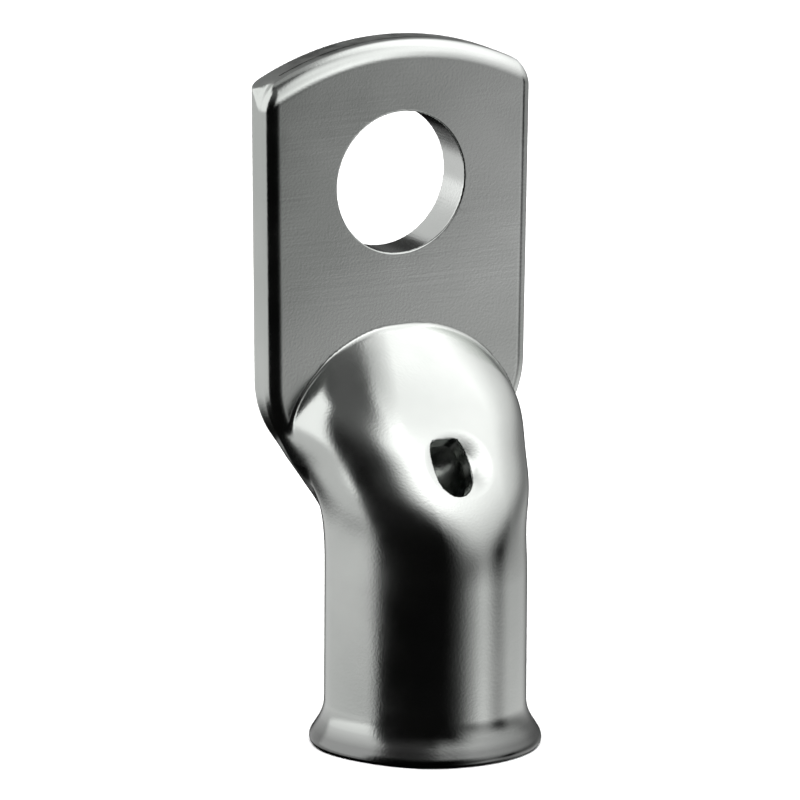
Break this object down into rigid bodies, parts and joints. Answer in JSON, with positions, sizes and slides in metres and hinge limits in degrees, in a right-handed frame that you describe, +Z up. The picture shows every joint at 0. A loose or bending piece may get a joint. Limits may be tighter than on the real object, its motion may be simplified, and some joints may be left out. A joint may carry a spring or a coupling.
{
  "type": "compression lug",
  "caption": "Tubular cable lug: bell-mouthed round barrel, pressed shoulder with inspection hole, flattened palm with arched top and a stud hole.",
  "frame": {"origin": "on the barrel's axis, at the end of the bell mouth, where the lug stands", "axes": "+Z up along the barrel from the wire entry to the palm's top; +Y out of the palm's flat contact face (its back); +X across the palm's width"},
  "size_m": [0.0272, 0.0214, 0.0635],
  "materials": {
    "tinned_copper": "satin"
  },
  "bodies": {
    "root": {"lug_body": "tinned_copper"}
  },
  "joints": []
}
